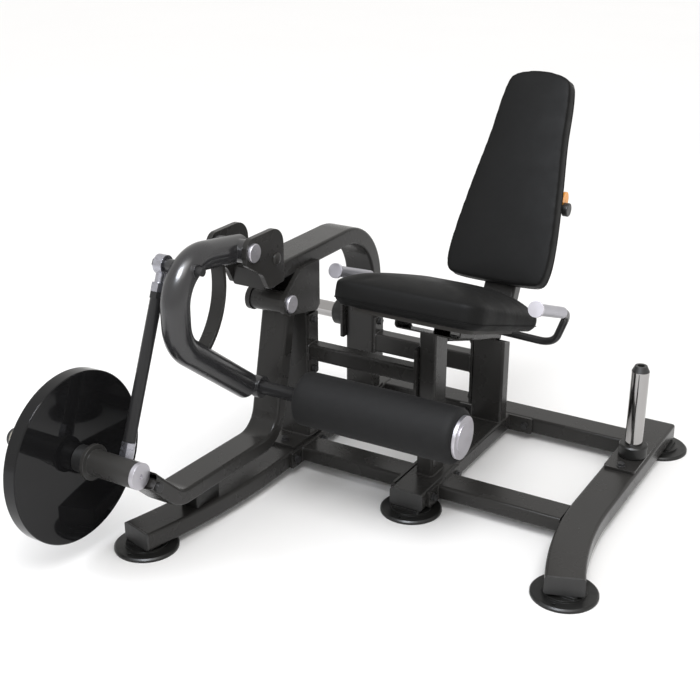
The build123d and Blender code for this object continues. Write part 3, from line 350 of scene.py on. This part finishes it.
MARKER = plastic("orange_plastic", (0.72, 0.27, 0.025), (0.86, 0.36, 0.045), 0.30)
BOARD = painted_board("painted_board")
ENAMEL = gloss_plate("gloss_enamel")

SLOT_FINISH = {
    "frame_paint": FRAME_COAT,
    "black_plug": PLUG,
    "rubber": RUBBER,
    "foam": FOAM,
    "upholstery": VINYL,
    "board": BOARD,
    "silver": SILVER,
    "zinc": ZINC,
    "black_steel": BLACK_STEEL,
    "chrome": CHROME,
    "roller_core": PLUG,
    "plate": ENAMEL,
    "marker": MARKER,
}
# Nodes that look different from the rest of their slot.
NODE_FINISH = {
    "handle_rods": ROD_COAT,
    "link_rod": ROD_COAT,
    "horn_housing": HOUSING_COAT,
    "hand_grips": GRIP,
    "roller_shaft": ROD_COAT,
    "loading_horn": HORN_STEEL,
    "leg_arm": ARM_COAT,
}

for part in frame["record"]["subparts"]:
    node = frame["nodes"][part["node"]]
    finish = NODE_FINISH.get(part["node"], SLOT_FINISH[part["material_slot"]])
    if not node.data.materials:
        node.data.materials.append(finish)
    for slot in node.material_slots:
        slot.material = finish


# ---------------------------------------------------------------- mesh helpers
def add_mesh(name, points, faces, finish):
    mesh = bpy.data.meshes.new(name)
    mesh.from_pydata([tuple(p) for p in points], [], faces)
    mesh.validate()
    mesh.update()
    made = bpy.data.objects.new(name, mesh)
    bpy.context.scene.collection.objects.link(made)
    mesh.materials.append(finish)
    mesh.polygons.foreach_set("use_smooth", [True] * len(mesh.polygons))
    return made


def loft(name, rings, finish):
    """Closed skin through rings of equal length, fanned shut at both ends."""
    count = len(rings[0])
    last = (len(rings) - 1) * count
    points = [p for ring in rings for p in ring]
    faces = []
    for start in range(0, last, count):
        for i in range(count):
            j = (i + 1) % count
            faces.append((start + i, start + j, start + count + j, start + count + i))
    for ring, start, turned in ((rings[0], 0, True), (rings[-1], last, False)):
        hub = len(points)
        points.append(sum((Vector(p) for p in ring), Vector()) / count)
        for i in range(count):
            a, b = start + i, start + (i + 1) % count
            faces.append((b, a, hub) if turned else (a, b, hub))
    return add_mesh(name, points, faces, finish)


def cord(name, path, radius, finish, ripple=0.0):
    """Round cord along a closed path; ripple gives the stacked look of a weld."""
    points = []
    faces = []
    for i, here in enumerate(path):
        j = (i + 1) % len(path)
        along = (path[j] - path[i - 1]).normalized()
        side = along.orthogonal() if abs(along.z) > 0.95 else along.cross(Vector((0, 0, 1)))
        side.normalize()
        up = side.cross(along)
        thick = radius * (1 + ripple * math.sin(i * RIPPLE_STEP))
        for k in range(CORD_SIDES):
            turn = 2 * math.pi * k / CORD_SIDES
            points.append(here + side * (thick * math.cos(turn)) + up * (thick * math.sin(turn)))
            m = (k + 1) % CORD_SIDES
            faces.append((i * CORD_SIDES + k, j * CORD_SIDES + k, j * CORD_SIDES + m, i * CORD_SIDES + m))
    return add_mesh(name, points, faces, finish)


def lathe(name, outline, centre, finish, steps=96):
    """Spin (x, radius) points about an X axis through a centre."""
    rings = []
    for x, radius in outline:
        turns = [2 * math.pi * k / steps for k in range(steps)]
        rings.append([centre + Vector((x, radius * math.cos(t), radius * math.sin(t))) for t in turns])
    return loft(name, rings, finish)


def placed(origin, x_axis, y_axis, z_axis):
    """Matrix from a local frame in millimetres to the row frame in metres."""
    turn = Matrix((x_axis, y_axis, z_axis)).transposed().to_4x4()
    return Matrix.Translation(Vector(origin) * MM) @ turn @ Matrix.Scale(MM, 4)


SEAT_FRAME = placed(SEAT_ORIGIN, (1, 0, 0), (0, math.cos(SEAT_TILT), -math.sin(SEAT_TILT)),
                    (0, math.sin(SEAT_TILT), math.cos(SEAT_TILT)))
BACK_FRAME = placed(BACK_ORIGIN, (1, 0, 0), (0, math.sin(BACK_LEAN), math.cos(BACK_LEAN)),
                    (0, -math.cos(BACK_LEAN), math.sin(BACK_LEAN)))


# ---------------------------------------------------------------- pad outlines
def seat_ring(inset):
    """Rounded trapezoid of the seat, inset evenly."""
    front, rear, far = SEAT_FRONT - inset, SEAT_REAR - inset, SEAT_L - inset
    tips = [Vector(p) for p in ((-front, inset), (front, inset), (rear, far), (-rear, far))]
    arcs = []
    for i, (tip, corner) in enumerate(zip(tips, SEAT_CORNERS)):
        radius = max(corner - inset, SEAT_CORNER_MIN)
        before = (tips[i - 1] - tip).normalized()
        after = (tips[(i + 1) % 4] - tip).normalized()
        reach = radius / math.tan(before.angle(after) / 2)
        centre = tip + (before + after).normalized() * math.hypot(reach, radius)
        arcs.append((tip + before * reach, tip + after * reach, centre))
    ring = []
    for i, (start, stop, centre) in enumerate(arcs):
        sweep = (start - centre).angle_signed(stop - centre)
        for k in range(CORNER_POINTS):
            turn = Matrix.Rotation(-sweep * k / CORNER_POINTS, 2)
            ring.append(centre + turn @ (start - centre))
        following = arcs[(i + 1) % 4][0]
        ring += [stop.lerp(following, k / SIDE_POINTS) for k in range(SIDE_POINTS)]
    return ring


def smooth_loop(corners):
    """Dense closed curve through the corners, its tangents weighted by the distances between them."""
    count = len(corners)
    dense = []
    for i, b in enumerate(corners):
        a, c, d = corners[i - 1], corners[(i + 1) % count], corners[(i + 2) % count]
        here = (c - b).length
        lead = (c - a) * (here / (here + (b - a).length))
        tail = (d - b) * (here / (here + (d - c).length))
        for k in range(SPLINE_STEPS):
            t = k / SPLINE_STEPS
            dense.append(b * (2 * t**3 - 3 * t**2 + 1) + lead * (t**3 - 2 * t**2 + t)
                         + c * (3 * t**2 - 2 * t**3) + tail * (t**3 - t**2))
    return dense


def evenly(loop, count):
    """Points at even spacing round a closed loop."""
    run = [0.0]
    for i, here in enumerate(loop):
        run.append(run[-1] + (loop[(i + 1) % len(loop)] - here).length)
    ring = []
    for k in range(count):
        goal = run[-1] * k / count
        i = int(np.searchsorted(run, goal, side="right")) - 1
        share = (goal - run[i]) / (run[i + 1] - run[i])
        ring.append(loop[i].lerp(loop[(i + 1) % len(loop)], share))
    return ring


def back_ring(inset):
    """Smooth closed outline of the back pad, inset toward its middle line."""
    right = [Vector(p) for p in BACK_HALF]
    left = [Vector((-p.x, p.y)) for p in reversed(right)]
    corners = [*right, Vector((0, BACK_TOP)), *left, Vector((0, BACK_LOW))]
    ring = evenly(smooth_loop(corners), BACK_POINTS)
    out = []
    for i, here in enumerate(ring):
        along = (ring[(i + 1) % BACK_POINTS] - ring[i - 1]).normalized()
        out.append(here + Vector((-along.y, along.x)) * inset)
    return out


# ---------------------------------------------------------------- upholstery
def cushion(name, ring_at, profile, ridge, dome, power, place):
    """Pad skin: underside, side profile of (inset, level, share of the ridge's level), then a domed face."""
    def lifted(ring, level, share):
        return [Vector((p.x, p.y, level + share * ridge(p.y))) for p in ring]

    low_inset, low_level, _ = profile[0]
    low = ring_at(low_inset)
    middle = sum(low, Vector((0, 0))) / len(low)
    rings = [lifted([middle + (p - middle) * scale for p in low], low_level, 0.0) for scale in BASE_SCALES]
    rings += [lifted(ring_at(inset), level, share) for inset, level, share in profile]
    edge = rings[-1]
    middle = sum(edge, Vector()) / len(edge)
    for step in range(1, FACE_RINGS):
        scale = 1 - step / FACE_RINGS
        lift = 1 - scale**power
        rings.append([Vector((middle.x + (p.x - middle.x) * scale, middle.y + (p.y - middle.y) * scale,
                              p.z + (dome - p.z) * lift)) for p in edge])
    return loft(name, [[place @ p for p in ring] for ring in rings], VINYL)


def bake(thing):
    """Replace a mesh by its modified shape."""
    shape = bpy.context.evaluated_depsgraph_get()
    solid = bpy.data.meshes.new_from_object(thing.evaluated_get(shape), depsgraph=shape)
    keep = [slot.material for slot in thing.material_slots]
    thing.modifiers.clear()
    thing.data = solid
    solid.materials.clear()
    for material in keep:
        solid.materials.append(material)
    solid.polygons.foreach_set("use_smooth", [True] * len(solid.polygons))


def places(mesh):
    """Vertex positions as rows of an array."""
    flat = np.empty(len(mesh.vertices) * 3)
    mesh.vertices.foreach_get("co", flat)
    return flat.reshape(-1, 3)


def swell(pad, cap):
    """Blow a pad up under cloth pressure, no vertex moving further than the cap."""
    scene = bpy.context.scene
    start = places(pad.data)
    cloth = pad.modifiers.new("cloth", "CLOTH")
    cloth.settings.use_pressure = True
    cloth.settings.uniform_pressure_force = 4.0
    cloth.settings.vertex_group_mass = "held"
    cloth.settings.effector_weights.gravity = 0
    cloth.settings.tension_stiffness = 25
    cloth.settings.compression_stiffness = 25
    cloth.settings.bending_stiffness = 8
    for step in range(1, CLOTH_FRAMES + 1):
        scene.frame_set(step)
    shape = bpy.context.evaluated_depsgraph_get()
    travel = places(pad.evaluated_get(shape).to_mesh()) - start
    pad.evaluated_get(shape).to_mesh_clear()
    pad.modifiers.remove(cloth)
    scene.frame_set(1)
    length = np.linalg.norm(travel, axis=1, keepdims=True)
    travel *= np.minimum(1.0, cap / np.maximum(length, 1e-9))
    pad.data.vertices.foreach_set("co", (start + travel).ravel())
    pad.data.update()


def upholster(pad, held, cap, body, node):
    """Remesh a pad, swell it between its held parts, relax it and put it in its CAD block's place."""
    remesh = pad.modifiers.new("remesh", "REMESH")
    remesh.mode = "VOXEL"
    remesh.voxel_size = VOXEL
    remesh.use_smooth_shade = True
    bake(pad)
    pins = pad.vertex_groups.new(name="held")
    free = pad.vertex_groups.new(name="free")
    for index, point in enumerate(places(pad.data)):
        weight = held(Vector(point))
        pins.add([index], weight, "REPLACE")
        free.add([index], 1 - 0.8 * weight, "REPLACE")
    swell(pad, cap)
    relax = pad.modifiers.new("relax", "SMOOTH")
    relax.factor = 0.5
    relax.iterations = 14
    relax.vertex_group = "free"
    bake(pad)
    pad.vertex_groups.clear()
    fine = pad.modifiers.new("fine", "SUBSURF")
    fine.levels = 1
    fine.render_levels = 1
    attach(pad, body)
    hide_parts(node)


def is_near(local, outline, reach):
    """True within reach of an outline, seen from straight above the pad."""
    return min((local.xy - p).length for p in outline) < reach


def seam(name, ring, level, place, body):
    """Stitched cord round a pad's side."""
    made = cord(name, [place @ Vector((p.x, p.y, level)) for p in ring], 1.1 * MM, SEAM)
    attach(made, body)


# ---------------------------------------------------------------- seat pad
SEAT_SIDE = ((21, -70, 0), (17, -68.5, 0), (8, -61, 0), (2, -55, 0), (1, -50, 0), (1, -37, 0.26),
             (1, -24, 0.52), (1, -10, 0.8), (1.4, -3, 0.94), (3.2, 0, 1))
SEAT_LOCAL = SEAT_FRAME.inverted()
SEAT_SEWN = seat_ring(2)


def seat_ridge(y):
    """Level of the sewn top edge."""
    front, rear = SEAT_RIDGE
    return front + (rear - front) * min(max(y / SEAT_L, 0), 1)


def seat_held(point):
    """Held on the board, and half held along the sewn top edge."""
    local = SEAT_LOCAL @ point
    if local.z < SEAT_BOARD:
        return 1.0
    in_strip = abs(local.z - seat_ridge(local.y)) < SEAT_STRIP_H and is_near(local, SEAT_SEWN, SEAT_STRIP_W)
    return 0.5 if in_strip else 0.0


seat = cushion("seat_cushion", seat_ring, SEAT_SIDE, seat_ridge, SEAT_DOME, 4.6, SEAT_FRAME)
upholster(seat, seat_held, 5 * MM, "frame", "seat_pad")
seam("seat_lower_seam", seat_ring(1.4), SEAT_SEAM, SEAT_FRAME, "frame")

# ---------------------------------------------------------------- back pad
BACK_SIDE = ((9, -58, 0), (3, -56, 0), (0.8, -51, 0), (0.5, -40, 0), (0.5, -24, 0), (0.6, -12, 0),
             (1.4, -6, 0), (4, -3, 0))
BACK_LOCAL = BACK_FRAME.inverted()
BACK_SEWN = back_ring(2.5)


def flat_ridge(y):
    """The back pad's front edge lies in one plane."""
    return 0.0


def back_held(point):
    """Held where the pad sits on its board and along its front edge."""
    local = BACK_LOCAL @ point
    if local.z < BACK_BOARD:
        return 1.0
    in_strip = local.z > BACK_FACE_EDGE and is_near(local, BACK_SEWN, BACK_STRIP_W)
    return 0.85 if in_strip else 0.0


back = cushion("back_cushion", back_ring, BACK_SIDE, flat_ridge, BACK_DOME, 2.6, BACK_FRAME)
upholster(back, back_held, 4 * MM, "back", "back_pad")
seam("back_rear_seam", back_ring(0.4), BACK_SEAM, BACK_FRAME, "back")

# ---------------------------------------------------------------- roller foam
FOAM_BORE = 27 * MM
FOAM_SKIN = 50 * MM     # radius past which the sleeve is dented
FOAM_BOW = 0.6 * MM     # how much fuller the middle is than the ends
FOAM_SINK = 0.7 * MM    # keeps the dented skin inside the CAD sleeve
# Rounded end in millimetres: distance in from the end, distance in from the widest radius.
FOAM_END = ((0, 16), (1.5, 9), (5, 3.5), (11, 0.8))
# Soft dents: waves to the metre, depth.
FOAM_DENTS = ((14.0, 0.9 * MM), (45.0, 0.3 * MM))
foam_low, foam_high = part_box("roller_foam")
foam_mid = (foam_low + foam_high) / 2
foam_r = (foam_high.z - foam_low.z) / 2
foam_half = (foam_high.x - foam_low.x) / 2


def foam_outline():
    """The sleeve's (x, radius) section from one bore edge to the other."""
    end = [(-foam_half, FOAM_BORE)]
    end += [(inward * MM - foam_half, foam_r - drop * MM) for inward, drop in FOAM_END]
    first = end[-1][0]
    body = []
    for k in range(1, FOAM_RUN):
        share = k / FOAM_RUN
        body.append((first * (1 - 2 * share), foam_r - FOAM_BOW * (1 - math.sin(math.pi * share))))
    return end + body + [(-x, radius) for x, radius in reversed(end)]


sleeve = lathe("roller_sleeve", foam_outline(), foam_mid, FOAM)
for vertex in sleeve.data.vertices:
    out = vertex.co - foam_mid
    out.x = 0
    if out.length > FOAM_SKIN:
        dent = sum(noise.noise(vertex.co * waves) * depth for waves, depth in FOAM_DENTS)
        vertex.co += out.normalized() * (dent - FOAM_SINK)
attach(sleeve, "roller")
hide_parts("roller_foam")

# ---------------------------------------------------------------- round button on the knee side plate
button = lathe("knee_stop_button", [(x * MM, radius * MM) for x, radius in BUTTON_OUTLINE],
               Vector(KNEE_BUTTON) * MM, FRAME_COAT, 48)
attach(button, "frame")


# ---------------------------------------------------------------- welds
def rectangle(width, height):
    """Tube outline with rounded corners in millimetres, centred, closely spaced."""
    steps = 8
    loop = []
    for quarter, (sx, sy) in enumerate(((1, 1), (-1, 1), (-1, -1), (1, -1))):
        for k in range(steps + 1):
            turn = math.pi / 2 * (quarter + k / steps)
            loop.append(Vector((sx * (width / 2 - TUBE_R) + TUBE_R * math.cos(turn),
                                sy * (height / 2 - TUBE_R) + TUBE_R * math.sin(turn))))
    dense = []
    for i, here in enumerate(loop):
        there = loop[(i + 1) % len(loop)]
        pieces = max(1, round((there - here).length / WELD_STEP))
        dense += [here.lerp(there, k / pieces) for k in range(pieces)]
    return dense


def circle(radius, steps=72):
    turns = [2 * math.pi * k / steps for k in range(steps)]
    return [Vector((radius * math.cos(t), radius * math.sin(t))) for t in turns]


def weld(name, centre, axis, outline, size, ripple=0.16):
    """Rippled fillet bead round an outline square to X or Z, sizes in millimetres."""
    x, y, z = centre
    if axis == "z":
        path = [Vector((x + p.x, y + p.y, z)) * MM for p in outline]
    else:
        path = [Vector((x, y + p.x, z + p.y)) * MM for p in outline]
    bead = cord(name, path, size * MM, FRAME_COAT, ripple)
    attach(bead, "frame")


for name, y in (("front", COLUMN_Y), ("rear", REAR_Y)):
    weld(f"weld_{name}_column", (LEFT_X, y, COLUMN_FOOT), "z", rectangle(TUBE_W, TUBE_H), FILLET)
weld("weld_front_post", (0, POST_Y, BEAM_TOP), "z", rectangle(POST_W, POST_L), FILLET)
weld("weld_rear_post", (0, REAR_Y, BEAM_TOP), "z", rectangle(REAR_POST_W, TUBE_H), FILLET)
for name, x in (("left", LEFT_FLANGE), ("mid_left", -CENTRE_FLANGE), ("mid_right", CENTRE_FLANGE)):
    weld(f"weld_low_tube_{name}", (x, *CROSS_TUBE), "x", rectangle(CROSS_W, CROSS_H), CROSS_FILLET)
for name, x in (("left", LEFT_FLANGE), ("right", -POST_W / 2 - PLATE)):
    weld(f"weld_upper_tube_{name}", (x, *UPPER_TUBE), "x", rectangle(50, 48), CROSS_FILLET)
for name, x in (("left", LEFT_FLANGE), ("right", -CENTRE_FLANGE)):
    weld(f"weld_rear_upper_{name}", (x, *REAR_TUBE), "x", rectangle(50, 60), CROSS_FILLET)
for name, x in (("right", HANDLE_WELD_X), ("left", -HANDLE_WELD_X)):
    weld(f"weld_handle_{name}", (x, *HANDLE_ROD), "x", circle(HANDLE_ROD_R), ROD_FILLET, 0.14)


# ---------------------------------------------------------------- floor, light and camera
def stood(name, data, direction, place=(0, 0, 0)):
    """Put a lamp or camera in the scene, looking along a direction."""
    made = bpy.data.objects.new(name, data)
    bpy.context.scene.collection.objects.link(made)
    made.location = place
    made.rotation_euler = Vector(direction).to_track_quat("-Z", "Y").to_euler()
    return made


floor_finish = Finish("studio_floor")
floor_tone = floor_finish.mix(floor_finish.noise(0.8, 2.0), (0.86, 0.86, 0.865), (0.88, 0.88, 0.885))
floor_corners = [(x * FLOOR_HALF, y * FLOOR_HALF, 0) for x, y in ((-1, -1), (1, -1), (1, 1), (-1, 1))]
add_mesh("studio_floor", floor_corners, [(0, 1, 2, 3)], floor_finish.done(floor_tone, 0.75))

world = bpy.data.worlds.new("studio")
bpy.context.scene.world = world
world.use_nodes = True
sky = world.node_tree.nodes["Background"]
sky.inputs["Color"].default_value = (1.0, 0.99, 0.972, 1)
sky.inputs["Strength"].default_value = 0.88


def soft_box(name, place, aim, width, power, tint, mirrored=True, lights=True):
    """Square lamp; it can be left out of reflections, or show only in them."""
    lamp = bpy.data.lights.new(name, "AREA")
    lamp.size = width
    lamp.energy = power
    lamp.color = tint
    made = stood(name, lamp, Vector(aim) - Vector(place), place)
    made.visible_glossy = mirrored
    made.visible_diffuse = lights


soft_box("key", (1.6, -1.6, 4.2), (0, 0, 0.3), width=2.6, power=62, tint=(1.0, 0.99, 0.97))
soft_box("bend", (0.15, -2.15, 3.75), (-0.44, -0.4, 0.7), width=1.4, power=235, tint=(0.88, 0.92, 1.0),
         lights=False)
soft_box("side", (-2.6, -2.6, 2.4), (-0.4, -0.3, 0.6), width=1.0, power=45, tint=(0.92, 0.95, 1.0),
         mirrored=False)

sun = bpy.data.lights.new("sun", "SUN")
sun.energy = 0.9
sun.angle = math.radians(35)
stood("sun", sun, (-0.25, 0.35, -1.0))

lens = bpy.data.cameras.new("camera")
lens.sensor_width = 36
lens.lens = 62.49
bpy.context.scene.camera = stood("camera", lens, CAMERA_LOOK, CAMERA)
bpy.context.scene.view_settings.view_transform = "Standard"

bpy.context.view_layer.update()
